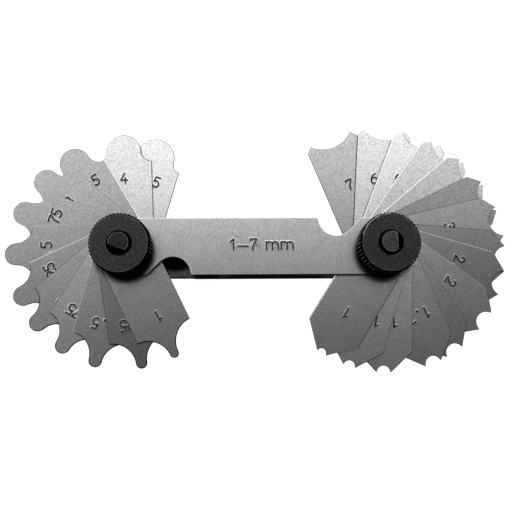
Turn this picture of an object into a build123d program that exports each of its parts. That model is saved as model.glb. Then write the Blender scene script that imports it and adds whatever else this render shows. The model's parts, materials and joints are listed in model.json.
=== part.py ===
from build123d import *
import os
from math import cos, radians, sin, sqrt

# Radius gauge, millimetres. It lies on the flat back of its holder, with the clamping nuts up (+Z).
# The holder runs along X. The origin is on the back plate's outer face, midway between the pivots.
# Convex blades swing about the left screw and concave blades about the right one.

# Gauge sizes: quarter steps up to 3 mm, half steps above
small_radii = [1 + 0.25 * step for step in range(9)]
large_radii = [3.5 + 0.5 * step for step in range(8)]
radii = small_radii + large_radii

# Blades
blade_thickness = 0.46
blade_width = 12.6
convex_reach = 27.0          # pivot to the outermost point of the rounded tip
shortest_concave = 27.7      # pivot to the two points beside the hollow, smallest size
longest_concave = 28.9       # the same on the largest size
tip_land = 0.15              # small flat beside each end of the hollow
widest_opening = 90.0        # half angle of the hollow arc on the smallest size, degrees
narrowest_opening = 45.0     # half angle of the hollow arc on the largest size, degrees
running_gap = 0.04           # free play between neighbours in a stack

# Holder plates
pivot_span = 58.2
plate_thickness = 1.0
plate_width = 12.6
notch_radius = 4.0           # thumb notch, centred on the plate's long edge
notch_from_pivot = 11.0
notch_corner_radius = 0.35

# Clamping screws
screw_diameter = 5.0
hole_clearance = 0.05        # on the radius, in every hole that the screw passes
head_diameter = 8.0
head_thickness = 0.6
screw_proud = 1.2            # how far the screw's end stands out of the nut
screw_end_chamfer = 0.33
key_flat_offset = 1.05       # screw axis to the flat that keys it in the front plate

# Knurled nuts
nut_diameter = 13.2
nut_height = 5.5
knurl_teeth = 50
knurl_depth = 0.3
nut_rim_chamfer = 0.35
nut_mouth_diameter = 5.45    # countersink where the screw comes out

# Rest angle of each blade about its pivot, degrees from +X, smallest size first.
# The largest convex blades are folded into the holder.
convex_folded = 0
fanned_convex = [296, 279.5, 256.5, 238.5, 221, 205, 182.5, 160, 139.5, 121, 92.5, 74]
convex_angles = fanned_convex + [convex_folded] * (len(radii) - len(fanned_convex))
concave_angles = [238, 252, 268, 291.5, 303, 323.5, 324, 343.5, 355, 373, 386, 400, 414.5, 428.5, 428, 446, 472]
left_flat_angle = 250        # where the left screw's key flat faces
right_flat_angle = 0

# Derived places
half_width = blade_width / 2
bore_radius = screw_diameter / 2 + hole_clearance
blade_pitch = blade_thickness + running_gap
stack_height = len(radii) * blade_pitch + running_gap
front_plate_z = plate_thickness + stack_height
holder_depth = front_plate_z + plate_thickness
nut_z = holder_depth + running_gap
screw_end_z = nut_z + nut_height + screw_proud
left_pivot = Vector(-pivot_span / 2, 0, 0)
right_pivot = Vector(pivot_span / 2, 0, 0)


def size_name(radius):
    """Node suffix for a gauge size, such as 1_25."""
    return f"{radius:.2f}".replace(".", "_")


def mirrored(edges):
    """The same edges on the other side of the blade's axis."""
    return [edge.mirror(Plane.XZ) for edge in edges]


def blade_from(side_edges, tip_edge):
    """Blade along +X with its pivot at the origin, from one side, the tip and a round rear end."""
    rear = ThreePointArc((0, half_width), (-half_width, 0), (0, -half_width))
    outline = make_face([*side_edges, tip_edge, *mirrored(side_edges), rear])
    blade = extrude(outline, amount=blade_thickness, dir=(0, 0, 1))
    return blade - Cylinder(bore_radius, 3 * blade_thickness)


def convex_blade(radius):
    """Blade whose tip is a full round of the gauge size, with hollow flanks down to its shoulders."""
    tip_half_width = min(radius, half_width)
    flank_radius = half_width - tip_half_width
    tip_start_x = convex_reach - radius + sqrt(radius**2 - tip_half_width**2)
    shoulder_x = tip_start_x - flank_radius
    side = [Line((0, -half_width), (shoulder_x, -half_width))]
    if flank_radius > 0:
        along = flank_radius * (1 - cos(radians(45)))
        across = flank_radius * sin(radians(45))
        middle = (shoulder_x + along, across - half_width)
        side.append(ThreePointArc((shoulder_x, -half_width), middle, (tip_start_x, -tip_half_width)))
    tip = ThreePointArc((tip_start_x, -tip_half_width), (convex_reach, 0), (tip_start_x, tip_half_width))
    return blade_from(side, tip)


def concave_blade(radius):
    """Blade with a hollow of the gauge size in its end, between two corners cut at 45 degrees."""
    share = (radius - radii[0]) / (radii[-1] - radii[0])
    reach = shortest_concave + (longest_concave - shortest_concave) * share
    half_angle = radians(widest_opening + (narrowest_opening - widest_opening) * share)
    half_chord = radius * sin(half_angle)
    hollow_depth = radius * (1 - cos(half_angle))
    point_y = half_chord + tip_land
    shoulder_x = reach - (half_width - point_y)
    side = [
        Line((0, -half_width), (shoulder_x, -half_width)),
        Line((shoulder_x, -half_width), (reach, -point_y)),
        Line((reach, -point_y), (reach, -half_chord)),
    ]
    hollow = ThreePointArc((reach, -half_chord), (reach - hollow_depth, 0), (reach, half_chord))
    return blade_from(side, hollow)


def blade_stack(make_blade, pivot, angles):
    """Blades of one fan, the smallest size uppermost, each turned to its rest angle."""
    blades = {}
    for index, (radius, angle) in enumerate(zip(radii, angles)):
        height = front_plate_z - (index + 1) * blade_pitch
        place = Pos(pivot.X, pivot.Y, height) * Rot(0, 0, angle)
        blades[size_name(radius)] = place * make_blade(radius)
    return blades


def notch_cutter():
    """Thumb notch in the upper edge at the right: a half round with a 45 degree run towards the pivot."""
    centre = Vector(pivot_span / 2 - notch_from_pivot, plate_width / 2)
    tangent_point = centre + Vector(notch_radius * cos(radians(-45)), notch_radius * sin(radians(-45)))
    run_end = centre + Vector(notch_radius / cos(radians(45)), 0)
    ramp = make_face(Polyline(centre, tangent_point, run_end, close=True))
    return Pos(centre.X, centre.Y) * Circle(notch_radius) + ramp


def plate_outline():
    """Straight bar with round ends about the pivots and a thumb notch at two opposite corners."""
    bar = SlotCenterToCenter(pivot_span, plate_width)
    notch = notch_cutter()
    outline = bar - notch - notch.rotate(Axis.Z, 180)
    corner_x = pivot_span / 2 - notch_from_pivot - notch_radius
    corners = [
        vertex
        for vertex in outline.vertices()
        if abs(abs(vertex.X) - corner_x) < notch_corner_radius and abs(abs(vertex.Y) - plate_width / 2) < 0.01
    ]
    return fillet(corners, notch_corner_radius)


def keyed_disc(radius, flat_offset, flat_angle, height):
    """Round bar along +Z from the origin with one flat, as the screw's upper end has."""
    bar = Cylinder(radius, height, align=(Align.CENTER, Align.CENTER, Align.MIN))
    beyond = Pos(flat_offset, 0, 0) * Box(
        2 * radius, 4 * radius, 3 * height, align=(Align.MIN, Align.CENTER, Align.CENTER)
    )
    return Rot(0, 0, flat_angle) * (bar - beyond)


def back_plate():
    """Outer plate that the gauge lies on, counterbored for the two screw heads."""
    plate = extrude(plate_outline(), amount=plate_thickness, dir=(0, 0, 1))
    for pivot in (left_pivot, right_pivot):
        plate -= Pos(pivot) * Cylinder(bore_radius, 3 * plate_thickness)
        plate -= Pos(pivot) * Cylinder(head_diameter / 2 + hole_clearance, 2 * head_thickness)
    return plate


def front_plate():
    """Outer plate under the nuts, with a keyed hole for each screw."""
    plate = extrude(plate_outline(), amount=plate_thickness, dir=(0, 0, 1))
    for pivot, flat_angle in ((left_pivot, left_flat_angle), (right_pivot, right_flat_angle)):
        hole = keyed_disc(bore_radius, key_flat_offset + hole_clearance, flat_angle, 3 * plate_thickness)
        plate -= Pos(pivot.X, pivot.Y, -plate_thickness) * hole
    return Pos(0, 0, front_plate_z) * plate


def clamp_screw(pivot, flat_angle):
    """Screw with a thin seated head, a plain shank in the blades and a flat along its threaded end."""
    shank_end_z = front_plate_z - running_gap
    head = Cylinder(head_diameter / 2, head_thickness, align=(Align.CENTER, Align.CENTER, Align.MIN))
    shank = Cylinder(screw_diameter / 2, shank_end_z, align=(Align.CENTER, Align.CENTER, Align.MIN))
    end = keyed_disc(screw_diameter / 2, key_flat_offset, flat_angle, screw_end_z - shank_end_z)
    tip_profile = Polyline(
        (0, 0),
        (screw_diameter / 2, 0),
        (screw_diameter / 2, screw_end_z - shank_end_z - screw_end_chamfer),
        (screw_diameter / 2 - screw_end_chamfer, screw_end_z - shank_end_z),
        (0, screw_end_z - shank_end_z),
        close=True,
    )
    end = end & revolve(Plane.XZ * make_face(tip_profile), Axis.Z)
    return Pos(pivot) * (head + shank + Pos(0, 0, shank_end_z) * end)


def knurled_nut(pivot):
    """Round nut with a straight knurl, chamfered rims and a countersunk mouth."""
    tip_radius = nut_diameter / 2
    points = []
    for step in range(2 * knurl_teeth):
        radius = tip_radius - knurl_depth * (step % 2)
        turn = radians(180 * step / knurl_teeth)
        points.append((radius * cos(turn), radius * sin(turn)))
    body = extrude(make_face(Polyline(*points, close=True)), amount=nut_height, dir=(0, 0, 1))
    rim_radius = tip_radius - nut_rim_chamfer
    turned_profile = Polyline(
        (0, 0),
        (rim_radius, 0),
        (tip_radius, nut_rim_chamfer),
        (tip_radius, nut_height - nut_rim_chamfer),
        (rim_radius, nut_height),
        (0, nut_height),
        close=True,
    )
    body = body & revolve(Plane.XZ * make_face(turned_profile), Axis.Z)
    body -= Cylinder(bore_radius, 3 * nut_height)
    mouth_radius = nut_mouth_diameter / 2
    mouth_depth = mouth_radius - bore_radius
    body -= Pos(0, 0, nut_height) * Cone(bore_radius, mouth_radius, mouth_depth, align=(
        Align.CENTER, Align.CENTER, Align.MAX
    ))
    return Pos(pivot.X, pivot.Y, nut_z) * body


def all_nodes():
    """Every physical piece by its node name."""
    nodes = {
        "back_plate": back_plate(),
        "front_plate": front_plate(),
        "left_screw": clamp_screw(left_pivot, left_flat_angle),
        "right_screw": clamp_screw(right_pivot, right_flat_angle),
        "left_nut": knurled_nut(left_pivot),
        "right_nut": knurled_nut(right_pivot),
    }
    for size, blade in blade_stack(convex_blade, left_pivot, convex_angles).items():
        nodes[f"convex_blade_{size}"] = blade
    for size, blade in blade_stack(concave_blade, right_pivot, concave_angles).items():
        nodes[f"concave_blade_{size}"] = blade
    return nodes


os.makedirs("parts", exist_ok=True)
for name, solid in all_nodes().items():
    export_step(solid, f"parts/{name}.step")
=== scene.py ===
# %% [markdown]
# # Radius gauge with fanned steel blades
#
# A radius gauge is a flat steel holder with two fans of thin blades. Those on the left end in a full round,
# those on the right in a hollow, and each blade carries its size in millimetres. A knurled black nut clamps
# each fan.
#
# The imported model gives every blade, plate, screw and nut its place and its outline. This script takes those
# solids as the blanks that a workshop would start from, and finishes them: it breaks the edges, stamps the
# numbers, cuts the threads and the knurl, and gives each part the surface of ground or blackened steel.

# %% The frame and its units
import json
from math import atan2, cos, degrees, inf, pi, radians, sin

import bmesh
import bpy
import numpy as np
from mathutils import Euler, Matrix, Vector
from mathutils.geometry import delaunay_2d_cdt


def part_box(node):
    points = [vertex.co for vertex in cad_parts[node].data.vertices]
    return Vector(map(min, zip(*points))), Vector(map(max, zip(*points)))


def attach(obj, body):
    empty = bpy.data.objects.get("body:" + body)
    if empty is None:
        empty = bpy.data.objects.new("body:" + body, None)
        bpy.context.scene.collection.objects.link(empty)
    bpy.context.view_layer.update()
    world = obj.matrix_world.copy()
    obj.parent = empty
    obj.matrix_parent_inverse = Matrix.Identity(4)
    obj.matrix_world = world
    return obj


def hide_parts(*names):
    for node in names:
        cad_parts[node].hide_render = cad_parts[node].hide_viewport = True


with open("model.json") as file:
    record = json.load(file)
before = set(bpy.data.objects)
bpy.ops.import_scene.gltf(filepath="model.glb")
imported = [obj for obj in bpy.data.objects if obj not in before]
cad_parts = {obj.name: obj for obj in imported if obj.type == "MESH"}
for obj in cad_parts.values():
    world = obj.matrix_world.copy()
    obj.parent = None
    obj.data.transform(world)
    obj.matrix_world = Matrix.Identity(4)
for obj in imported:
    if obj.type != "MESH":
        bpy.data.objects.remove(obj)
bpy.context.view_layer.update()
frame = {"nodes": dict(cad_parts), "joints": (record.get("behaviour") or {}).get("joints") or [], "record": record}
MM = 0.001

node_body = {node: body for body, nodes in frame["record"]["behaviour"]["bodies"].items() for node in nodes}
pivot_of = {joint["child"]: Vector(joint["pos_m"]) for joint in frame["joints"]}
blade_nodes = sorted(node for node in frame["nodes"] if "blade" in node)

# %% [markdown]
# ## Camera
#
# The photograph was taken from almost straight above, a little in front of the holder, at about 175 mm. So
# near a lens shows the sides of the two nuts that face the middle of the picture. A distance, a place and a
# tilt for the camera are all that is needed, because the picture isn't cropped off its centre: the focal
# length then sets how much of the picture the gauge fills.

# %% Camera
FILM_WIDTH = 36.0
LENS = 52.79
CAMERA_PLACE = Vector((-3.64, -22.94, 174.56)) * MM
WORLD_TO_CAMERA = Euler((radians(-7.2), radians(1.33), radians(0.23)), "XYZ").to_matrix()

camera_data = bpy.data.cameras.new("camera")
camera_data.sensor_width = FILM_WIDTH
camera_data.lens = LENS
camera_data.clip_start = 0.01
camera_data.clip_end = 10
camera = bpy.data.objects.new("camera", camera_data)
camera.matrix_world = Matrix.Translation(CAMERA_PLACE) @ WORLD_TO_CAMERA.transposed().to_4x4()
bpy.context.scene.collection.objects.link(camera)
bpy.context.scene.camera = camera
print("camera looks from", [round(c / MM, 1) for c in camera.location], "mm")

# %% [markdown]
# ## Helpers for node materials
#
# Every finish here is a Principled shader whose colour, roughness and bump come from a few noise patterns in
# the part's own coordinates. Each blade is built with its pivot at its origin and its length along X, so one
# pattern of grinding lines runs across every blade, whichever way the blade is turned.

# %% A material and its nodes
def new_material(name, metallic, roughness):
    """A material and its Principled shader."""
    material = bpy.data.materials.new(name)
    material.use_nodes = True
    shader = material.node_tree.nodes["Principled BSDF"]
    shader.inputs["Metallic"].default_value = metallic
    shader.inputs["Roughness"].default_value = roughness
    return material, shader


def add_node(material, kind, **settings):
    """A node of this kind, with its attributes or its input sockets set."""
    node = material.node_tree.nodes.new(kind)
    for key, value in settings.items():
        if key in node.inputs:
            node.inputs[key].default_value = value
        else:
            setattr(node, key, value)
    return node


def link(material, source, target):
    """Joins two sockets."""
    material.node_tree.links.new(source, target)


# %% Patterns for colour, roughness and height
LAYER_OFFSET = 0.37                    # keeps level faces off the noise's lattice planes, where it is weak
USUAL_NOISE = (0.3, 0.7)               # the range that most of a noise pattern lies in


def noise(material, grain, detail=2.0):
    """Noise whose grains measure (x, y, z) millimetres in the part's own coordinates."""
    place = add_node(material, "ShaderNodeTexCoord")
    stretch = add_node(material, "ShaderNodeMapping")
    stretch.inputs["Scale"].default_value = [1 / (size * MM) for size in grain]
    stretch.inputs["Location"].default_value = (0.0, 0.0, LAYER_OFFSET)
    pattern = add_node(material, "ShaderNodeTexNoise", Scale=1.0, Detail=detail)
    link(material, place.outputs["Object"], stretch.inputs["Vector"])
    link(material, stretch.outputs["Vector"], pattern.inputs["Vector"])
    return pattern.outputs["Fac"]


def graded(material, factor, low, high):
    """The factor's usual range mapped to low and high."""
    grade = add_node(material, "ShaderNodeMapRange")
    grade.inputs["From Min"].default_value = USUAL_NOISE[0]
    grade.inputs["From Max"].default_value = USUAL_NOISE[1]
    grade.inputs["To Min"].default_value = low
    grade.inputs["To Max"].default_value = high
    link(material, factor, grade.inputs["Value"])
    return grade.outputs["Result"]


def times(material, first, second):
    """The product of two factors."""
    product = add_node(material, "ShaderNodeMath", operation="MULTIPLY")
    link(material, first, product.inputs[0])
    link(material, second, product.inputs[1])
    return product.outputs["Value"]


def grey_from(material, shader, tone, factor):
    """The shader's base colour is a grey tone times this factor."""
    scaled = add_node(material, "ShaderNodeMix", data_type="RGBA", blend_type="MULTIPLY")
    scaled.inputs["Factor"].default_value = 1.0
    scaled.inputs[6].default_value = (tone, tone, tone, 1)
    link(material, factor, scaled.inputs[7])
    link(material, scaled.outputs[2], shader.inputs["Base Color"])


def bump_from(material, shader, height, distance, strength=1.0):
    """The shader's normal follows this height, in millimetres."""
    bump = add_node(material, "ShaderNodeBump", Strength=strength, Distance=distance * MM)
    link(material, height, bump.inputs["Height"])
    link(material, bump.outputs["Normal"], shader.inputs["Normal"])


print("most noise lies between", USUAL_NOISE[0], "and", USUAL_NOISE[1])

# %% [markdown]
# ## Steel finishes
#
# Blades and plates are ground spring steel. Seen close, the surface has fine speckle about a quarter of a
# millimetre across and faint grinding lines. It is satin: bright where it mirrors the soft lamp above the
# picture, darker further down. Each blade has its own tone on a small scale of grades from dark to pale, and
# the grade paints how brightly that blade, lying a little tilted, mirrors the lamp. A painted shadow darkens
# the steel beside the nuts, most on the side away from the lamp. It is a factor on the steel's colour that
# depends on the distance from a point beside the screw, so it needs no painted image. The sides of the parts
# are another matter: a press shears them, which leaves a rough band with fine scratches from top to bottom;
# its near black without sheen also paints the shade on the sides. Where the punch has rolled a rim round, it
# catches the lamp, and on some blades and the front plate a brighter copy of the rim steel paints that
# highlight. The back plate has a plainer finish outside, and its inner face is dark with painted shade.

# %% Painted shade film
PAINTED_SHADE_TONE = 0.03


def painted_shade_film(material, centre, black, clear):
    """A painted shade: a factor that is dark near a centre and 1 away from it, the same at both ends of X.

    It is at its darkest up to the distance black and reaches 1 at the distance clear.
    """
    place = add_node(material, "ShaderNodeTexCoord")
    parts = add_node(material, "ShaderNodeSeparateXYZ")
    link(material, place.outputs["Object"], parts.inputs["Vector"])
    along = add_node(material, "ShaderNodeMath", operation="ABSOLUTE")
    link(material, parts.outputs["X"], along.inputs[0])
    level = add_node(material, "ShaderNodeCombineXYZ")
    link(material, along.outputs["Value"], level.inputs["X"])
    link(material, parts.outputs["Y"], level.inputs["Y"])
    away = add_node(material, "ShaderNodeVectorMath", operation="DISTANCE")
    away.inputs[1].default_value = (centre[0] * MM, centre[1] * MM, 0)
    link(material, level.outputs["Vector"], away.inputs[0])
    film = add_node(material, "ShaderNodeMapRange", interpolation_type="SMOOTHSTEP")
    film.inputs["From Min"].default_value = black * MM
    film.inputs["From Max"].default_value = clear * MM
    film.inputs["To Min"].default_value = PAINTED_SHADE_TONE
    link(material, away.outputs["Value"], film.inputs["Value"])
    return film.outputs["Result"]


# %% Ground steel
SPECKLE = (0.24, 0.24, 40.0)           # grain sizes in millimetres
GRIND_LINE = (0.16, 2.2, 40.0)
CLOUD = (5.0, 4.0, 40.0)
SPECKLE_TONES = (0.7, 1.3)
GRIND_TONES = (0.92, 1.08)
CLOUD_TONES = (0.95, 1.04)
SPECKLE_DEPTH = 0.0006
ROUGHNESS_SPREAD = 0.03


def ground_steel(name, tone, roughness, shade_spot=None):
    """Satin steel: speckle, clouds, grinding lines and a painted shade film in the colour, speckle in the bump."""
    material, shader = new_material(name, 1.0, roughness)
    speckle = noise(material, SPECKLE)
    lines = graded(material, noise(material, GRIND_LINE), *GRIND_TONES)
    clouds = graded(material, noise(material, CLOUD), *CLOUD_TONES)
    pattern = times(material, graded(material, speckle, *SPECKLE_TONES), times(material, clouds, lines))
    if shade_spot:
        pattern = times(material, pattern, painted_shade_film(material, *shade_spot))
    grey_from(material, shader, tone, pattern)
    shine = graded(material, speckle, roughness + ROUGHNESS_SPREAD, roughness - ROUGHNESS_SPREAD)
    link(material, shine, shader.inputs["Roughness"])
    bump_from(material, shader, speckle, SPECKLE_DEPTH)
    return material


# %% Blade steel
# Tones of the blade grades: each paints how brightly a blade, lying a little tilted, mirrors the lamp
BLADE_TONES = {
    "dark": 0.41,
    "dull": 0.50,
    "plain": 0.58,
    "fair": 0.68,
    "light": 0.77,
    "bright": 0.84,
    "pale": 0.93,
}
BLADE_ROUGHNESS = 0.31
# Centre of each painted shade, where it is black and where it ends
BLADE_NUT_SHADOW = ((1.5, 0.0), 5.7, 7.3)
FOLDED_BLADE_SHADE = ((11.0, 0.0), 4.3, 5.6)
BLADE_GRADES = {
    grade: ground_steel(f"{grade}_blade_steel", tone, BLADE_ROUGHNESS) for grade, tone in BLADE_TONES.items()
}
# The folded blade under the notch: smoother steel, with painted shade over its middle where the front plate shades
# it
BLADE_GRADES["smooth"] = ground_steel("smooth_blade_steel", tone=0.80, roughness=0.14, shade_spot=FOLDED_BLADE_SHADE)
NUT_SHADOWED_GRADES = {
    grade: ground_steel(f"nut_shadowed_{grade}_blade_steel", BLADE_TONES[grade], BLADE_ROUGHNESS, BLADE_NUT_SHADOW)
    for grade in ("dark", "plain", "fair", "bright")
}
print("blade grades:", len(BLADE_GRADES), "and nut-shadowed ones:", len(NUT_SHADOWED_GRADES))

# %% Steel of rims, plates and sides
RIM_ROUGHNESS = 0.25
# Painted shadow of the nuts on the front plate and its rim
PLATE_NUT_SHADOW = ((28.3, -1.5), 5.5, 7.0)
# Rolled-rim steel in a dim and a bright copy; the bright ones paint the highlight of rims that catch the lamp
rim_steel = ground_steel("rolled_rim_steel", tone=0.45, roughness=RIM_ROUGHNESS)
highlight_rim_steel = ground_steel("painted_highlight_rim_steel", tone=0.95, roughness=RIM_ROUGHNESS)
plate_steel = ground_steel("satin_plate_steel", tone=0.80, roughness=0.30, shade_spot=PLATE_NUT_SHADOW)
plate_rim_highlight_steel = ground_steel("painted_highlight_plate_rim_steel", tone=0.95, roughness=RIM_ROUGHNESS, shade_spot=PLATE_NUT_SHADOW)
back_steel = ground_steel("satin_back_steel", tone=0.55, roughness=0.36)
# Dark steel for the back plate's inner face: painted shade between the plates
inner_shade_steel = ground_steel("painted_shade_inner_steel", tone=0.10, roughness=0.34)
BLACK_BLOTCHES = (0.5, 1.6)            # darkest and lightest part of a black, as a share of its tone


def matt_black(name, tone, roughness, grain):
    """Black without any sheen, uneven by this grain."""
    material, shader = new_material(name, 0.0, roughness)
    shader.inputs["Specular IOR Level"].default_value = 0.0
    grey_from(material, shader, tone, graded(material, noise(material, grain), *BLACK_BLOTCHES))
    return material


# Near black without sheen: the sheared band, and painted shade on the sides and the front plate's underside
sheared_and_shaded_steel = matt_black("sheared_edge_painted_shade", tone=0.005, roughness=0.85, grain=(0.12, 0.12, 1.0))
print("plates:", plate_steel.name, "and", back_steel.name)

# %% [markdown]
# ## Black finishes
#
# Nuts and screws are blackened steel: nearly black, with a soft sheen and faint turning rings on the faces.
# The rings follow the distance from the part's axis, so each part is built with its axis at its origin. In
# the knurl, the chamfers and the threads the black has no sheen at all, which paints the shade on the nuts'
# walls and in their bores. Along the rims the black has worn off in patches. A grey finish on some flanks of
# the knurl and on a part of the right nut's upper rim paints highlights and reflections there. What a stamp
# has pressed into the steel keeps oil and dirt and looks black too. The black of the right screw has faded
# more than that of the left one.

# %% Blackened steel
WAVES_PER_UNIT = 20 / (2 * pi)         # of the wave texture at scale 1


def blackened_steel(name, tone, roughness, ring_pitch, ring_depth):
    """Burnished black with turning rings round the Z axis."""
    material, shader = new_material(name, 1.0, roughness)
    shader.inputs["Specular Tint"].default_value = (0.1, 0.1, 0.1, 1)
    place = add_node(material, "ShaderNodeTexCoord")
    rings = add_node(material, "ShaderNodeTexWave", wave_type="RINGS", rings_direction="Z")
    rings.inputs["Scale"].default_value = 1 / (WAVES_PER_UNIT * ring_pitch * MM)
    rings.inputs["Distortion"].default_value = 0.6
    rings.inputs["Detail"].default_value = 2.0
    link(material, place.outputs["Object"], rings.inputs["Vector"])
    speckle = noise(material, (0.4, 0.4, 0.4))
    grey_from(material, shader, tone, graded(material, speckle, 0.5, 1.5))
    link(material, graded(material, speckle, roughness - 0.05, roughness + 0.06), shader.inputs["Roughness"])
    bump_from(material, shader, times(material, rings.outputs["Fac"], speckle), ring_depth)
    return material


nut_black = blackened_steel("blackened_nut", tone=0.055, roughness=0.42, ring_pitch=0.5, ring_depth=0.02)
SCREW_TONES = {"left_screw": 0.035, "right_screw": 0.08}
screw_black = {
    node: blackened_steel(f"blackened_{node}", tone, roughness=0.45, ring_pitch=0.35, ring_depth=0.01)
    for node, tone in SCREW_TONES.items()
}
print("blackened: the nuts,", ", ".join(screw_black))

# %% Painted shade, stamped grooves, worn edges and painted highlights
# Black without any sheen in the knurl, chamfers, threads and bores: painted shade
painted_shade_black = matt_black("painted_shade_black", tone=0.003, roughness=0.9, grain=(0.3, 0.3, 0.3))
stamp_black, stamp_shader = new_material("stamped_groove", 0.0, 0.7)
stamp_speckle = noise(stamp_black, (0.15, 0.15, 0.15))
grey_from(stamp_black, stamp_shader, 0.02, graded(stamp_black, stamp_speckle, *BLACK_BLOTCHES))
worn_edge, worn_shader = new_material("worn_black_edge", 0.5, 0.36)
wear = graded(worn_edge, noise(worn_edge, (2.2, 2.2, 2.2)), 0.0, 1.0)
patches = graded(worn_edge, noise(worn_edge, (1.8, 1.8, 1.8), detail=3.0), 0.1, 1.0)
grey_from(worn_edge, worn_shader, 0.36, patches)
link(worn_edge, wear, worn_shader.inputs["Metallic"])
# Grey on the knurl's flanks and the right nut's rim: painted highlights and reflections
painted_knurl_highlight, knurl_highlight_shader = new_material("painted_knurl_highlight", 1.0, 0.4)
highlight_patches = graded(painted_knurl_highlight, noise(painted_knurl_highlight, (1.0, 1.0, 1.0)), 0.2, 1.8)
grey_from(painted_knurl_highlight, knurl_highlight_shader, 0.30, highlight_patches)
print("black finishes made")

# %% [markdown]
# ## Stamped figures
#
# The sizes are pressed in with single-line figures: each stroke is a narrow round-bottomed groove, and the
# steel that it pushes aside stands up as a low lip on both sides. Text objects would give filled letters with
# an outline. Here each figure is a few lines in a box one unit high, and the height of the stamped face
# depends only on the distance from the nearest line, so strokes may cross without any care.

# %% Figures as strokes
def arc(x, y, across, up, start, end, steps=10):
    """Points on an ellipse arc about (x, y), angles in degrees."""
    turns = [radians(start + (end - start) * step / steps) for step in range(steps + 1)]
    return [(x + across * cos(turn), y + up * sin(turn)) for turn in turns]


FIGURES = {
    "1": [[(-0.22, 0.76), (0.06, 1.0), (0.06, 0.0)]],
    "2": [arc(0, 0.72, 0.27, 0.28, 165, -35) + [(-0.28, 0.0), (0.3, 0.0)]],
    "3": [arc(-0.03, 0.76, 0.25, 0.24, 150, -75), arc(-0.02, 0.27, 0.29, 0.27, 85, -155)],
    "4": [[(0.08, 1.0), (-0.32, 0.3), (0.32, 0.3)], [(0.12, 0.55), (0.12, 0.0)]],
    "5": [[(0.27, 1.0), (-0.17, 1.0), (-0.22, 0.56)] + arc(-0.02, 0.31, 0.29, 0.31, 105, -140)],
    "6": [arc(0.16, 0.36, 0.45, 0.62, 100, 180), arc(0, 0.31, 0.28, 0.31, 180, 540, 20)],
    "7": [[(-0.3, 0.9), (-0.28, 1.0), (0.28, 1.0)] + arc(0.42, 0.1, 0.5, 0.72, 118, 188, 6)],
    ".": [arc(0, 0.08, 0.06, 0.06, 0, 315, 7)],
    "-": [[(-0.46, 0.32), (0.46, 0.32)]],
    "m": [
        [(-0.56, 0.0), (-0.56, 0.72)],
        arc(-0.28, 0.46, 0.28, 0.26, 180, 0, 8) + [(0.0, 0.0)],
        arc(0.28, 0.46, 0.28, 0.26, 180, 0, 8) + [(0.56, 0.0)],
    ],
}


def figure_strokes(figures, height, place):
    """Strokes of (figure, middle) pairs; place turns a point of the text line into one on the part."""
    return [
        [place(middle + x * height, (y - 0.5) * height) for x, y in stroke]
        for figure, middle in figures
        for stroke in FIGURES[figure]
    ]


print("figures drawn:", " ".join(FIGURES))

# %% Depth and outline of a stroke
# Distance from the stroke's middle line and height there, in millimetres: groove floor, wall, crest, lip, face
STAMP_PROFILE = [(0.0, -0.13), (0.09, -0.11), (0.16, 0.032), (0.21, 0.035), (0.31, 0.018), (0.42, 0.0)]
ROUND_STEPS = 6                        # of the round end of a groove's outline
BEND = 0.87                            # cosine of the turn from which a bend gets three outline points


def ring_round(stroke, distance):
    """The closed outline at this distance round an open stroke."""
    outline = []
    for path in (stroke, stroke[::-1]):
        points = [Vector(point) for point in path]
        sides = [(after - before).orthogonal().normalized() for before, after in zip(points, points[1:])]
        outline.append(points[0] + sides[0] * distance)
        for point, before, after in zip(points[1:], sides, sides[1:]):
            turned = before.dot(after)
            outline += [point + side.normalized() * distance for side in (
                [before + after] if turned > BEND else [before, before + after, after]
            )]
        end, side = points[-1], sides[-1]
        for step in range(ROUND_STEPS):
            outline.append(end + Matrix.Rotation(-pi * step / ROUND_STEPS, 2) @ side * distance)
    return outline


def distance_from(strokes, points):
    """Each point's distance from the nearest stroke, all in millimetres."""
    starts = np.array([point for stroke in strokes for point in stroke[:-1]])
    ends = np.array([point for stroke in strokes for point in stroke[1:]])
    along = ends - starts
    offset = np.array(points)[:, None, :] - starts[None]
    share = np.clip((offset * along).sum(2) / (along**2).sum(1), 0, 1)
    return np.linalg.norm(offset - share[..., None] * along, axis=2).min(1)


print("a stamped line is", 2 * STAMP_PROFILE[-1][0], "mm wide with its lips")

# %% Strokes pressed into a face
STEEL, STAMPED, SHEARED_AND_SHADED, ROLLED, INNER = range(5)      # the finishes of a flat part, in their order
SAME_HEIGHT = 1e-6                     # metres
LEVEL_UP = 0.99                        # least vertical part of the normal of a level face
CDT_EPSILON = 1e-4                     # millimetres, points that are closer become one
CREST_DISTANCE = 0.18


def is_inside(point, borders):
    """True if a line from the point crosses the borders an odd number of times."""
    crossings = 0
    for a, b in borders:
        if (a.y > point.y) != (b.y > point.y):
            crossings += point.x < a.x + (point.y - a.y) * (b.x - a.x) / (b.y - a.y)
    return crossings % 2 == 1


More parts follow.
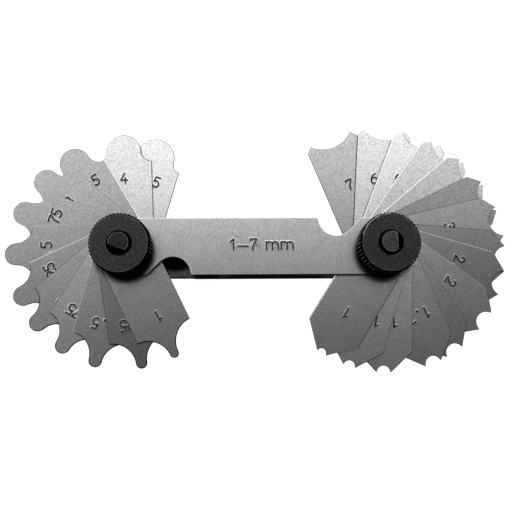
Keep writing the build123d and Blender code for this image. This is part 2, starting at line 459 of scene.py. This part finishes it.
def stamp(blank, strokes, face_z):
    """Replaces the blank's flat upper face by one with these strokes pressed in."""
    upper = {
        face
        for face in blank.faces
        if face.normal.z > LEVEL_UP and abs(face.calc_center_median().z - face_z) < SAME_HEIGHT
    }
    rim = [edge for edge in blank.edges if sum(face in upper for face in edge.link_faces) == 1]
    rim_verts = list(dict.fromkeys(vert for edge in rim for vert in edge.verts))
    number = {vert: index for index, vert in enumerate(rim_verts)}
    points = [vert.co.xy / MM for vert in rim_verts]
    lines = [tuple(number[vert] for vert in edge.verts) for edge in rim]
    borders = [(points[a], points[b]) for a, b in lines]
    for stroke in strokes:
        for distance, _ in STAMP_PROFILE:
            loop = ring_round(stroke, distance) if distance else [Vector(point) for point in stroke]
            first = len(points)
            points += loop
            lines += [(first + step, first + step + 1) for step in range(len(loop) - 1)]
            if distance:
                lines.append((first + len(loop) - 1, first))
    places, _, triangles, sources, _, _ = delaunay_2d_cdt(points, lines, [], 0, CDT_EPSILON)
    bmesh.ops.delete(blank, geom=[face for face in blank.faces if face in upper], context="FACES")
    away = distance_from(strokes, places)
    heights = np.interp(away, *zip(*STAMP_PROFILE))
    verts = []
    for place, height, source in zip(places, heights, sources):
        on_rim = [index for index in source if index < len(rim_verts)]
        made = rim_verts[on_rim[0]] if on_rim else blank.verts.new((*(place * MM), face_z + height * MM))
        verts.append(made)
    on_border = [vert in number for vert in verts]
    for triangle in triangles:
        middle = sum((places[index] for index in triangle), Vector((0, 0))) / 3
        if all(on_border[index] for index in triangle) and not is_inside(middle, borders):
            continue
        face = blank.faces.new([verts[index] for index in triangle])
        if np.mean([away[index] for index in triangle]) < CREST_DISTANCE:
            face.material_index = STAMPED


# %% [markdown]
# ## Blanks from the imported solids
#
# Each blade is cut from the imported solid itself, so its outline is exactly the imported one. The solid is
# moved to its pivot and laid along X, its triangles are merged back into flat faces, and its sharp rims get a
# small bevel. Blades and plates share these steps: broken rims, rolled rims and sheared sides, whose black
# also paints shade. The last ones set the normals, because a level face has to mirror the lamp like one flat
# mirror up to its rim, and a rolled rim like another.

# %% A blank from a imported solid
MERGE_DISTANCE = 1e-7
FLAT_ANGLE = radians(1)


def blank_from(node, origin, turn):
    """A bmesh of a CAD node with its origin and X axis as given, its triangles merged into flat faces."""
    blank = bmesh.new()
    blank.from_mesh(frame["nodes"][node].data)
    place = Matrix.Rotation(-turn, 4, "Z") @ Matrix.Translation(-origin)
    bmesh.ops.transform(blank, matrix=place, verts=blank.verts)
    bmesh.ops.remove_doubles(blank, verts=blank.verts, dist=MERGE_DISTANCE)
    bmesh.ops.dissolve_limit(blank, angle_limit=FLAT_ANGLE, verts=blank.verts, edges=blank.edges)
    return blank


print("triangles in the packed solids:", sum(len(solid.data.polygons) for solid in frame["nodes"].values()))

# %% Broken, rolled, sheared and shaded edges
SHARP_RIM = radians(60)
SLOPED = (0.05, 0.95)                  # least and greatest vertical part of a rolled rim's normal
UPRIGHT = 0.93                         # greatest vertical part of a sheared face's normal


def break_edges(blank, width, segments, chosen=lambda edge: True):
    """Bevels every sharp rim of the blank that is chosen."""
    rims = [
        edge
        for edge in blank.edges
        if len(edge.link_faces) == 2 and edge.calc_face_angle() > SHARP_RIM and chosen(edge)
    ]
    bmesh.ops.bevel(blank, geom=rims, offset=width * MM, segments=segments, profile=0.5, affect="EDGES")


def roll_rims(blank, width, chosen):
    """Bevels the chosen rims once and gives the new faces the rolled finish. Returns these faces."""
    break_edges(blank, width, 1, chosen)
    rolled = [face for face in blank.faces if SLOPED[0] < abs(face.normal.z) < SLOPED[1]]
    for face in rolled:
        face.material_index = ROLLED
    return rolled


def verts_of(faces):
    """The corners of these faces, each one once."""
    return dict.fromkeys(vert for face in faces for vert in face.verts)


def shear_and_shade_sides(blank):
    """Gives the upright faces and the sharp rims the sheared finish, a near black that also paints the shade on
    them.
    """
    blank.normal_update()
    for face in blank.faces:
        if abs(face.normal.z) < UPRIGHT:
            face.material_index = SHEARED_AND_SHADED


# %% Shading
SMOOTH_ANGLE = radians(35)
LEVEL = 1e-7                           # height difference within a level face, metres
SAME_WAY = 0.1                         # least vertical part of a face that takes a level face's normal


def shade(mesh, flat_material=None):
    """Smooth shading across small angles. Level faces stay level, and faces of one material stay flat."""
    mesh.shade_smooth()
    mesh.set_sharp_from_angle(angle=SMOOTH_ANGLE)
    facets = [polygon for polygon in mesh.polygons if polygon.material_index == flat_material]
    facet_edges = {key for facet in facets for key in facet.edge_keys}
    for edge in mesh.edges:
        edge.use_edge_sharp = edge.use_edge_sharp or edge.key in facet_edges
    level = {}
    for polygon in mesh.polygons:
        heights = [mesh.vertices[vertex].co.z for vertex in polygon.vertices]
        if max(heights) - min(heights) < LEVEL:
            level.update((vertex, 1.0 if polygon.normal.z > 0 else -1.0) for vertex in polygon.vertices)
    normals = [corner.vector.copy() for corner in mesh.corner_normals]
    for polygon in mesh.polygons:
        for corner, vertex in zip(polygon.loop_indices, polygon.vertices):
            if polygon.material_index == flat_material:
                normals[corner] = polygon.normal.copy()
            elif vertex in level and polygon.normal.z * level[vertex] > SAME_WAY:
                normals[corner] = Vector((0, 0, level[vertex]))
    mesh.normals_split_custom_set(normals)


def new_part(name, mesh, materials, origin, turn, flat_material=None):
    """A shaded object with this mesh, placed in the row frame."""
    for material in materials:
        mesh.materials.append(material)
    part = bpy.data.objects.new(name, mesh)
    part.matrix_world = Matrix.Translation(origin) @ Matrix.Rotation(turn, 4, "Z")
    bpy.context.scene.collection.objects.link(part)
    shade(mesh, flat_material)
    return part


def flat_part(name, blank, materials, origin, turn):
    """A blade or plate from its finished bmesh."""
    mesh = bpy.data.meshes.new(name)
    blank.to_mesh(mesh)
    blank.free()
    return new_part(name, mesh, materials, origin, turn, flat_material=ROLLED)


# %% [markdown]
# ## Blades
#
# Thirty-four blades lie in the holder, one level above the other. A press cuts such blades from strip, the end
# is ground to its radius, and the size is stamped near the middle. The direction of a blade comes from its own
# end: the blade is symmetric, so the middle of its end lies on its axis.

# %% Directions of the blades
NEAR_END = 20.0                        # nothing but a blade's end is further from its pivot


def blade_turn(node):
    """The direction of a blade about its pivot, from the middle of its end."""
    pivot = pivot_of[node_body[node]]
    corners = [vertex.co - pivot for vertex in frame["nodes"][node].data.vertices]
    far = [corner for corner in corners if corner.xy.length > NEAR_END * MM]
    middle = sum(far, Vector()) / len(far)
    return atan2(middle.y, middle.x)


print("blades lie at", *(round(degrees(blade_turn(node))) for node in blade_nodes), "degrees")

# %% [markdown]
# ## Rims of the blades
#
# Some blades lie in the stack with the punch's side up: their long rims are rolled round, and the one that
# faces the lamp shows as a bright line. It is a narrow facet that slopes by about fifteen degrees, because a
# facet mirrors what lies at twice its slope; on some blades a brighter copy of the rim steel paints this
# highlight. The other blades have nearly sharp rims that show as thin dark lines. At a blade's end the upper
# rim is broken a little wider, most on the small convex blades, which gives the tips and flanks a dark outline.
# These bevels take the black of the sheared sides, which paints the thin shadow of each blade on the one below.
# All of it is a bevel of the mesh itself, so the rims show from every side.

# %% Rims of the blades
SHARP_RIM_WIDTH = 0.09
RIM_WIDTH = {
    "convex_blade_2_75": 0.03,
    "convex_blade_3_00": 0.03,
    "convex_blade_4_50": 0.14,
    "concave_blade_4_50": 0.08,
    "concave_blade_5_00": 0.10,
    "concave_blade_5_50": 0.10,
}
END_FROM = 19.0                        # pivot to where a blade's broken end begins, along its length
# The broken end rims take the sheared black, so their width sets the painted shadow line along the tips
END_RIM_WIDTH = {"convex": 0.14, "concave": 0.10}      # the hollow ends have corners only 0.15 mm wide
WIDE_END_RIM_WIDTH = 0.22
WIDE_RIM_ENDS = [f"convex_blade_{size}" for size in ("1_00", "1_25", "1_50", "1_75", "2_00")]
ROLLED_RIM_SLOPE = 0.27                # how deep a rolled rim falls, as a share of its width
SAME_SIDE = 1e-5                       # metres
ROLLED_RIM_WIDTH = {
    "convex_blade_3_50": 0.18,
    "convex_blade_2_50": 0.06,
    "convex_blade_2_25": 0.17,
    "convex_blade_1_50": 0.14,
    "concave_blade_1_00": 0.24,
    "concave_blade_2_25": 0.05,
    "concave_blade_2_75": 0.10,
    "concave_blade_4_50": 0.14,
    "concave_blade_5_00": 0.15,
    "concave_blade_5_50": 0.15,
}


def roll_long_rims(blank, width, top):
    """Rolls the two long upper rims of a blade into sloping facets of this width."""
    side = max(vert.co.y for vert in blank.verts)
    rolled = roll_rims(blank, width, lambda edge: all(
        vert.co.z > top - SAME_HEIGHT and abs(vert.co.y) > side - SAME_SIDE for vert in edge.verts
    ))
    for vert in verts_of(rolled):
        if vert.co.z > top - SAME_HEIGHT:
            vert.co.y = (side - width * MM) * (1 if vert.co.y > 0 else -1)
        else:
            vert.co.z = top - ROLLED_RIM_SLOPE * width * MM


def break_blade_rims(node, blank, top):
    """Breaks a blade's sharp rims, a little wider at the upper side of its end, and keeps its face level."""
    end_width = min(END_RIM_WIDTH[node.split("_")[0]], RIM_WIDTH.get(node, inf))
    if node in WIDE_RIM_ENDS:
        end_width = WIDE_END_RIM_WIDTH
    break_edges(blank, end_width, 2, lambda edge: all(
        vert.co.z > top - SAME_HEIGHT and vert.co.x > END_FROM * MM for vert in edge.verts
    ))
    usual_width = SHARP_RIM_WIDTH / 2 if node in ROLLED_RIM_WIDTH else SHARP_RIM_WIDTH
    break_edges(blank, RIM_WIDTH.get(node, usual_width), 2)
    face = [face for face in blank.faces if face.normal.z > SLOPED[1] and face.material_index == STEEL]
    for vert in verts_of(face):
        vert.co.z = top
    for vert in blank.verts:
        vert.co.z = min(vert.co.z, top)


print("blades with rolled rims:", len(ROLLED_RIM_WIDTH))

# %% [markdown]
# ## Figures and grades of the blades
#
# A blade's size is part of its node's name. It is stamped near the middle of the blade's length, the top of the
# figures towards the tip, and no two figures are stamped at quite the same place. The grade of each blade
# follows the photograph. The folded 5 mm blade, which the thumb notch leaves open, is smoother than the rest,
# and painted shade darkens its middle, where the front plate shades it, so that only its edge stays light.

# %% Figures of the blades
FIGURE_HEIGHT = 2.35
FIGURE_PLACE = 17.1                    # pivot to the middle of the figures
FIGURE_STEP = 1.6
POINT_STEP = 1.9
# How far a blade's figures lie from their usual place: towards the tip, and to the left when read
LABEL_SHIFT = {
    "convex_blade_1_00": (0.05, 0.40),
    "convex_blade_1_50": (0.48, -0.05),
    "convex_blade_1_75": (0.45, -0.05),
    "convex_blade_2_00": (0.93, -0.2),
    "convex_blade_2_25": (-0.08, -0.71),
    "convex_blade_2_50": (0.57, 0.20),
    "convex_blade_2_75": (0.53, 0.19),
    "convex_blade_3_50": (0.54, -0.19),
    "convex_blade_4_00": (-0.33, 0.13),
    "concave_blade_1_00": (0.22, 0.18),
    "concave_blade_1_25": (-0.50, 0.22),
    "concave_blade_1_50": (-0.25, 0.42),
    "concave_blade_1_75": (-0.12, 0.36),
    "concave_blade_2_25": (-0.4, 0.0),
    "concave_blade_2_75": (0.49, -0.09),
    "concave_blade_3_50": (-0.45, -0.3),
    "concave_blade_4_50": (0.0, -0.8),
}


def blade_figures(text):
    """Each figure with its middle on the text line, the whole text centred. A point takes more room."""
    middles = [0.0]
    for pair in zip(text, text[1:]):
        middles.append(middles[-1] + (POINT_STEP if "." in pair else FIGURE_STEP))
    return [(figure, middle - middles[-1] / 2) for figure, middle in zip(text, middles)]


def blade_label(node):
    """The size stamped on a blade, from its node's name, such as 1.25 or 7."""
    whole, hundredths = node.rsplit("_", 2)[1:]
    return f"{whole}.{hundredths}".rstrip("0").rstrip(".")


print("sizes:", *dict.fromkeys(blade_label(node) for node in blade_nodes))

# %% Grades of the blades
# Blades whose rolled rims get the painted highlight
BRIGHT_RIMS = ["convex_blade_3_50"]
BRIGHT_RIMS += [f"concave_blade_{size}" for size in ("1_00", "4_50", "5_00", "5_50")]
# Blades that lie in the nuts' painted shadow
NUT_SHADOWED_BLADES = [f"{side}_blade_{size}" for side in ("convex", "concave") for size in ("1_00", "1_25", "1_50")]
# Each blade's grade, which paints how brightly it mirrors the lamp
BLADE_GRADE = {
    "convex_blade_1_25": "dark",
    "convex_blade_1_75": "fair",
    "convex_blade_2_25": "dull",
    "convex_blade_2_50": "dull",
    "convex_blade_2_75": "dull",
    "convex_blade_3_00": "dull",
    "convex_blade_3_50": "dull",
    "convex_blade_4_00": "bright",
    "convex_blade_4_50": "pale",
    "convex_blade_5_00": "smooth",
    "concave_blade_1_00": "fair",
    "concave_blade_1_25": "bright",
    "concave_blade_1_50": "bright",
    "concave_blade_1_75": "fair",
    "concave_blade_2_75": "dark",
    "concave_blade_3_00": "dark",
    "concave_blade_3_50": "dull",
    "concave_blade_4_00": "dark",
    "concave_blade_4_50": "fair",
    "concave_blade_5_00": "light",
    "concave_blade_5_50": "pale",
    "concave_blade_6_50": "bright",
}
print("blades that aren't of the plain grade:", len(BLADE_GRADE))

# %% All blades
def finished_blade(node):
    """A stamped blade that stands for its node."""
    pivot, turn = pivot_of[node_body[node]], blade_turn(node)
    blank = blank_from(node, pivot, turn)
    top = max(vert.co.z for vert in blank.verts)
    if node in ROLLED_RIM_WIDTH:
        roll_long_rims(blank, ROLLED_RIM_WIDTH[node], top)
    break_blade_rims(node, blank, top)
    shear_and_shade_sides(blank)
    onward, sideways = LABEL_SHIFT.get(node, (0.0, 0.0))
    figures = blade_figures(blade_label(node))
    strokes = figure_strokes(figures, FIGURE_HEIGHT, lambda x, y: (FIGURE_PLACE + onward + y, sideways - x))
    stamp(blank, strokes, top)
    steel = (NUT_SHADOWED_GRADES if node in NUT_SHADOWED_BLADES else BLADE_GRADES)[BLADE_GRADE.get(node, "plain")]
    rim = highlight_rim_steel if node in BRIGHT_RIMS else rim_steel
    blade = flat_part("steel_" + node, blank, [steel, stamp_black, sheared_and_shaded_steel, rim], pivot, turn)
    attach(blade, node_body[node])
    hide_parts(node)
    return blade


blades = {node: finished_blade(node) for node in blade_nodes}
print("blades finished:", len(blades), "faces:", sum(len(blade.data.polygons) for blade in blades.values()))

# %% [markdown]
# ## Holder plates
#
# Both plates come from the imported solids in the same way as the blades, with all rims of the outer side rolled.
# The front one carries the range of the gauge, stamped with the same figures a little above the plate's axis.
# Its underside gets the black of a sheared side, which paints the shade between the plates.

# %% Holder plates
PLATE_RIM_WIDTH = 0.06
PLATE_ROLL_WIDTH = 0.07
RANGE_HEIGHT = 2.35
RANGE_MIDDLE = 0.42                    # above the plate's long axis
RANGE_FIGURES = [("1", -4.88), ("-", -2.65), ("7", -0.3), ("m", 3.84), ("m", 7.1)]


def finished_plate(node, figures):
    """A plate with these figures in its upper face that stands for its node."""
    is_front = node == "front_plate"
    blank = blank_from(node, Vector(), 0)
    heights = [vert.co.z for vert in blank.verts]
    outer = max(heights) if is_front else min(heights)
    rolled = roll_rims(blank, PLATE_ROLL_WIDTH, lambda edge: all(
        abs(vert.co.z - outer) < SAME_HEIGHT for vert in edge.verts
    ))
    for vert in verts_of(rolled):
        vert.co.z = outer + ROLLED_RIM_SLOPE * (vert.co.z - outer)
    break_edges(blank, PLATE_RIM_WIDTH, 2)
    shear_and_shade_sides(blank)
    inward = -1 if is_front else 1
    # The inner faces of the plates are painted shade: black on the front plate, dark steel on the back one
    for face in blank.faces:
        if face.normal.z * inward > LEVEL_UP:
            face.material_index = SHEARED_AND_SHADED if is_front else INNER
    if figures:
        strokes = figure_strokes(figures, RANGE_HEIGHT, lambda x, y: (x, y + RANGE_MIDDLE))
        stamp(blank, strokes, outer)
    outer_steel, rim = (plate_steel, plate_rim_highlight_steel) if is_front else (back_steel, rim_steel)
    materials = [outer_steel, stamp_black, sheared_and_shaded_steel, rim, inner_shade_steel]
    plate = flat_part("steel_" + node, blank, materials, Vector(), 0)
    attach(plate, node_body[node])
    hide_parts(node)
    return plate


front_plate = finished_plate("front_plate", RANGE_FIGURES)
back_plate = finished_plate("back_plate", [])
print("plates finished:", front_plate.name, back_plate.name)

# %% [markdown]
# ## Knurled nuts
#
# A nut like this is turned from bar: faced, chamfered, drilled, tapped, and rolled with a straight knurl of
# fifty teeth. Each of those steps only changes the radius at a height, so the whole surface is a stack of
# rings, from the bore's lower end out across the lower face, up the knurl, in across the upper face and down
# the thread. Where the chamfer's cone is smaller than the knurl it wins, as it does in the lathe. Where the
# blackening has rubbed off along the rims, a narrow band shows patches of bare steel. Each nut also has
# painted highlights over a span of directions that face the middle of the holder: there one flank of every
# tooth is grey, and on the right nut a part of the upper rim.

# %% Teeth and threads
THREAD_PITCH = 0.8
THREAD_SHAPE = (1.3, 0.15)


def tooth(turns, slope, crest):
    """How deep a tooth is cut, 0 to 1, over whole turns, with a flat crest and a flat root."""
    saw = np.abs((turns + 0.5) % 1 - 0.5) * 2
    return np.clip(saw * slope - crest, 0, 1)


def around(steps):
    """The directions of the points of a ring, in whole turns."""
    return np.arange(steps) / steps


def thread(height, turns):
    """How deep a right-hand thread has cut at this height, as a share of its depth."""
    return tooth(height / THREAD_PITCH - turns, *THREAD_SHAPE)


print("thread pitch", THREAD_PITCH, "mm")

# %% Turned parts
BLACK, WORN, SHADE_BLACK, HIGHLIT = range(4)   # the finishes of a turned part, in their order


def turned_part(name, rings, materials, origin, turn, closed):
    """A part from rings of (radii, height, finish of the band before it), in millimetres."""
    steps = max(np.size(radii) for radii, _, _ in rings)
    turns = 2 * pi * around(steps)
    points = np.concatenate([
        np.stack([radii * np.cos(turns), radii * np.sin(turns), np.full(steps, height)], axis=1)
        for radii, height, _ in rings
    ])
    count = len(rings)
    bands = [(band, band + 1) for band in range(count - 1)] + ([(count - 1, 0)] if closed else [])
    faces, finish = [], []
    for lower, upper in bands:
        low, high = lower * steps, upper * steps
        for step in range(steps):
            after = (step + 1) % steps
            faces.append((low + step, low + after, high + after, high + step))
        finish += np.broadcast_to(rings[upper][2], steps).tolist()
    if not closed:
        faces += [tuple(range(steps))[::-1], tuple(range((count - 1) * steps, count * steps))]
        finish += [rings[0][2], rings[-1][2]]
    mesh = bpy.data.meshes.new(name)
    mesh.from_pydata((points * MM).tolist(), [], faces)
    mesh.polygons.foreach_set("material_index", finish)
    return new_part(name, mesh, materials, origin, turn)


# %% Rings of a nut
NUT_RADIUS = 6.6
NUT_HEIGHT = 5.5
NUT_FACE_RADIUS = 6.1
NUT_EDGE = 0.05                        # small bevel between the faces and their chamfers
NUT_BORE_RADIUS = 2.56
BORE_CHAMFER = 0.1                     # at the lower end
NUT_MOUTH_RADIUS = 2.80
MOUTH_EDGE = 0.03
MOUTH_DEPTH = 0.28
KNURL_TEETH = 50
KNURL_DEPTH = 0.24
KNURL_SHAPE = (1.6, 0.45)              # slope and crest of a tooth
POINTS_PER_TOOTH = 8
HIGHLIT_POINT = 7                       # of those eight, on the flank that gets the painted highlight
CHAMFER_SHARES = (0.33, 0.67, 1)       # where the rings of a rim's chamfer lie
THREAD_DEPTH = 0.3
THREAD_STEP = 0.1                      # height between two rings of a thread


def within_span(turns, start, span):
    """True where the direction, in degrees, lies in this span from the start."""
    return (360 * turns - start) % 360 < span


def nut_rings(rim_lit_span, knurl_lit_span):
    """The nut's rings, from the bore's lower end round to the thread's last ring."""
    turns = around(POINTS_PER_TOOTH * KNURL_TEETH)
    knurl = NUT_RADIUS - KNURL_DEPTH * tooth(KNURL_TEETH * turns, *KNURL_SHAPE)
    flank = np.arange(len(turns)) % POINTS_PER_TOOTH == HIGHLIT_POINT
    wall = np.where(flank & within_span(turns, *knurl_lit_span), HIGHLIT, SHADE_BLACK)
    rim = np.where(within_span(turns, *rim_lit_span), HIGHLIT, SHADE_BLACK)
    edge_radius = NUT_FACE_RADIUS + NUT_EDGE
    rise = NUT_RADIUS - edge_radius
    cone = [(edge_radius + rise * share, NUT_EDGE + rise * share) for share in CHAMFER_SHARES]
    rings = [(NUT_BORE_RADIUS + BORE_CHAMFER, 0, BLACK), (NUT_FACE_RADIUS, 0, BLACK)]
    rings += [(edge_radius, NUT_EDGE, WORN)]
    rings += [(np.minimum(knurl, radius), height, SHADE_BLACK) for radius, height in cone]
    rings += [(knurl, NUT_HEIGHT / 2, wall)]
    cone = [(radius, NUT_HEIGHT - height) for radius, height in cone[::-1]]
    rings += [(np.minimum(knurl, cone[0][0]), cone[0][1], wall)]
    rings += [(np.minimum(knurl, radius), height, SHADE_BLACK) for radius, height in cone[1:]]
    rings += [(edge_radius, NUT_HEIGHT - NUT_EDGE, rim), (NUT_FACE_RADIUS, NUT_HEIGHT, WORN)]
    rings += [(NUT_MOUTH_RADIUS + MOUTH_EDGE, NUT_HEIGHT, BLACK)]
    rings += [(NUT_MOUTH_RADIUS, NUT_HEIGHT - MOUTH_EDGE, WORN)]
    thread_start = NUT_HEIGHT - MOUTH_DEPTH
    rings += [(NUT_BORE_RADIUS, thread_start, SHADE_BLACK)]
    height = thread_start - THREAD_STEP
    while height > THREAD_STEP:
        run_in = min(1, (thread_start - height) / THREAD_PITCH)
        rings.append((NUT_BORE_RADIUS + THREAD_DEPTH * run_in * thread(height, turns), height, SHADE_BLACK))
        height -= THREAD_STEP
    return rings


# %% Both nuts
def finished_nut(node, turn, rim_lit_span, knurl_lit_span):
    """A knurled nut that stands for its node, with painted highlights on its rim and knurl over (start, span)."""
    low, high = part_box(node)
    origin = Vector(((low[0] + high[0]) / 2, 0, low[2]))
    materials = [nut_black, worn_edge, painted_shade_black, painted_knurl_highlight]
    nut = turned_part("knurled_" + node, nut_rings(rim_lit_span, knurl_lit_span), materials, origin, turn, closed=True)
    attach(nut, node_body[node])
    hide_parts(node)
    return nut


RIGHT_NUT_TURN = 2 * pi * 14 / KNURL_TEETH             # fourteen teeth
nuts = [
    finished_nut("left_nut", 0, rim_lit_span=(0, 0), knurl_lit_span=(-20, 35)),
    finished_nut("right_nut", RIGHT_NUT_TURN, rim_lit_span=(-12, 75), knurl_lit_span=(45, 95)),
]
print("nuts finished, faces each:", len(nuts[0].data.polygons))

# %% [markdown]
# ## Clamping screws
#
# The screw is turned in the same way, from its flush head in the back plate up to the threaded end that stands
# out of the nut. A flat is milled along the threaded end, so that the screw can't turn in the front plate. In
# rings a flat is simple: no point may lie further out than the flat, measured along its own direction. The
# right screw's end has a shallower flat than the part in the plate, so the flat steps out inside the nut.

# %% Rings of a screw
SCREW_RADIUS = 2.5
HEAD_RADIUS = 4.0
HEAD_THICKNESS = 0.6
HEAD_EDGE = 0.1
CENTRE_RADIUS = 0.02                   # nearly a point, so that no ring has radius 0
CENTRE_MARK = [(CENTRE_RADIUS, 0.3, BLACK), (0.35, 0.06, BLACK), (0.5, 0, BLACK)]
SCREW_STEPS = 180
FLAT_OFFSET = 1.05                     # screw axis to the flat
END_FLAT_FROM = 12.64                  # height in the nut where the end's own flat begins
END_CHAMFER = 0.38
END_CHAMFER_SHARES = (0.0, 0.5, 0.9)   # where its rings lie
END_EDGE = 0.04
END_MARK_RADIUS = 0.6                  # the middle of the end
NEARLY_SQUARE = 0.01                   # least cosine, for directions that never meet the flat


def screw_rings(length, keyed_from, end_offset):
    """The screw's rings, from a small centre mark in the head up to the middle of its end."""
    turns = around(SCREW_STEPS)
    flat = 1 / np.maximum(np.cos(2 * pi * turns), NEARLY_SQUARE)
    rings = CENTRE_MARK + [(HEAD_RADIUS - HEAD_EDGE, 0, BLACK), (HEAD_RADIUS, HEAD_EDGE, WORN)]
    rings += [(HEAD_RADIUS, HEAD_THICKNESS, BLACK), (SCREW_RADIUS, HEAD_THICKNESS, BLACK)]
    rings += [(SCREW_RADIUS, keyed_from, BLACK)]
    rings += [(np.minimum(SCREW_RADIUS, FLAT_OFFSET * flat), keyed_from, BLACK)]
    height = keyed_from + 2 * THREAD_STEP
    while height < length - END_CHAMFER:
        run_in = min(1, (height - keyed_from) / THREAD_PITCH)
        cut = SCREW_RADIUS - THREAD_DEPTH * run_in * thread(height, turns)
        offset = end_offset if height > END_FLAT_FROM else FLAT_OFFSET
        rings.append((np.minimum(cut, offset * flat), height, SHADE_BLACK))
        height += THREAD_STEP
    for share in END_CHAMFER_SHARES:
        cone = SCREW_RADIUS - END_CHAMFER * share
        height = length - END_CHAMFER * (1 - share)
        cut = np.minimum(SCREW_RADIUS - THREAD_DEPTH * thread(height, turns), cone)
        rings.append((np.minimum(cut, end_offset * flat), height, SHADE_BLACK))
    end_radii = np.minimum(SCREW_RADIUS - END_CHAMFER, end_offset * flat) - END_EDGE
    rings += [(end_radii, length, WORN), (END_MARK_RADIUS, length, BLACK), (CENTRE_RADIUS, length, BLACK)]
    return rings


# %% Both screws
FLAT_DIRECTION = {"left_screw": radians(250), "right_screw": 0.0}
END_FLAT_OFFSET = {"left_screw": 1.05, "right_screw": 1.3}
RUNNING_GAP = 0.04                     # the key flat begins this far below the front plate


def finished_screw(node):
    """A keyed screw that stands for its node."""
    low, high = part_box(node)
    origin = Vector(((low[0] + high[0]) / 2, 0, 0))
    keyed_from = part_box("front_plate")[0][2] / MM - RUNNING_GAP
    rings = screw_rings(high[2] / MM, keyed_from, END_FLAT_OFFSET[node])
    materials = [screw_black[node], worn_edge, painted_shade_black]
    screw = turned_part("keyed_" + node, rings, materials, origin, FLAT_DIRECTION[node], closed=False)
    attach(screw, node_body[node])
    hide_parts(node)
    return screw


screws = [finished_screw(node) for node in FLAT_DIRECTION]
print("screws finished, faces each:", len(screws[0].data.polygons))

# %% [markdown]
# ## Floor, world and lamps
#
# The floor is a plain pale sheet under the gauge. It looks white to the camera and in reflections, through
# Light Path, and keeps a faint shadow. One wide soft lamp hangs above and beyond the picture's upper edge.
# Flat steel that is seen from above mirrors the ceiling: near the picture's top it mirrors the lamp, further
# down the dimmer room, and the satin finish blurs the lamp's near edge over a wide band. This gives the blades
# their run from bright to dark. The walls are lighter than the ceiling, so that the steel doesn't turn black
# when it is seen from a lower angle. A weaker lamp on the left lifts the convex blades, which are the lighter
# ones in the lower half of the photograph.

# %% Floor
FLOOR_SIZE = 3.0
FLOOR_WHITE = 0.88
floor_mesh = bpy.data.meshes.new("floor")
half = FLOOR_SIZE / 2
corners = [(-half, -half, 0), (half, -half, 0), (half, half, 0), (-half, half, 0)]
floor_mesh.from_pydata(corners, [], [(0, 1, 2, 3)])
floor = bpy.data.objects.new("floor", floor_mesh)
bpy.context.scene.collection.objects.link(floor)
floor_material, floor_shader = new_material("floor_white", 0.0, 0.9)
floor_shader.inputs["Base Color"].default_value = (0.8, 0.8, 0.8, 1)
light_path = add_node(floor_material, "ShaderNodeLightPath")
seen = add_node(floor_material, "ShaderNodeMath", operation="MAXIMUM")
link(floor_material, light_path.outputs["Is Camera Ray"], seen.inputs[0])
link(floor_material, light_path.outputs["Is Glossy Ray"], seen.inputs[1])
glow = add_node(floor_material, "ShaderNodeMath", operation="MULTIPLY")
glow.inputs[1].default_value = FLOOR_WHITE
link(floor_material, seen.outputs["Value"], glow.inputs[0])
floor_shader.inputs["Emission Color"].default_value = (1, 1, 1, 1)
link(floor_material, glow.outputs["Value"], floor_shader.inputs["Emission Strength"])
floor_mesh.materials.append(floor_material)
print("floor", FLOOR_SIZE, "m wide")

# %% World
CEILING_LIGHT = 0.03
WALL_LIGHT = 0.6
WALL_TOP, CEILING_EDGE = 0.45, 0.8     # upward part of a direction, 1 straight up
world = bpy.data.worlds.new("room")
bpy.context.scene.world = world
world.use_nodes = True
world_nodes = world.node_tree.nodes
room = world_nodes["Background"]
room.inputs["Color"].default_value = (1, 1, 1, 1)
direction = world_nodes.new("ShaderNodeTexCoord")
upward = world_nodes.new("ShaderNodeSeparateXYZ")
walls = world_nodes.new("ShaderNodeMapRange")
walls.interpolation_type = "SMOOTHSTEP"
walls.inputs["From Min"].default_value = WALL_TOP
walls.inputs["From Max"].default_value = CEILING_EDGE
walls.inputs["To Min"].default_value = WALL_LIGHT
walls.inputs["To Max"].default_value = CEILING_LIGHT
path = world_nodes.new("ShaderNodeLightPath")
strength = world_nodes.new("ShaderNodeMapRange")
strength.inputs["To Max"].default_value = 1.0
for source, target in (
    (direction.outputs["Generated"], upward.inputs["Vector"]),
    (upward.outputs["Z"], walls.inputs["Value"]),
    (walls.outputs["Result"], strength.inputs["To Min"]),
    (path.outputs["Is Camera Ray"], strength.inputs["Value"]),
    (strength.outputs["Result"], room.inputs["Strength"]),
):
    world.node_tree.links.new(source, target)
print("walls", WALL_LIGHT, "ceiling", CEILING_LIGHT)

# %% Lamps
LAMP_DISTANCE = 0.7
TOP_LAMP = {"width": 1.3, "height": 0.48, "energy": 2.6}
TOP_TILT = 31                          # degrees from upright, away from the picture's lower edge
TOP_TURN = 2                           # its left end comes nearer to the picture's lower edge
SIDE_LAMP = {"width": 0.38, "height": 0.7, "energy": 0.8}
SIDE_TILT = 44


def soft_lamp(name, width, height, energy, turn):
    """A rectangular lamp that faces the gauge from this turn of the upright axis."""
    lamp_data = bpy.data.lights.new(name, "AREA")
    lamp_data.shape = "RECTANGLE"
    lamp_data.size = width
    lamp_data.size_y = height
    lamp_data.energy = energy
    lamp = bpy.data.objects.new(name, lamp_data)
    lamp.matrix_world = turn.to_4x4() @ Matrix.Translation((0, 0, LAMP_DISTANCE))
    bpy.context.scene.collection.objects.link(lamp)


top_turn = Matrix.Rotation(radians(TOP_TURN), 3, "Z") @ Matrix.Rotation(radians(-TOP_TILT), 3, "X")
soft_lamp("soft_top_lamp", **TOP_LAMP, turn=top_turn)
soft_lamp("soft_side_lamp", **SIDE_LAMP, turn=Matrix.Rotation(radians(-SIDE_TILT), 3, "Y"))
print("lamps at", LAMP_DISTANCE, "m")

# %% View transform
bpy.context.scene.view_settings.view_transform = "Standard"
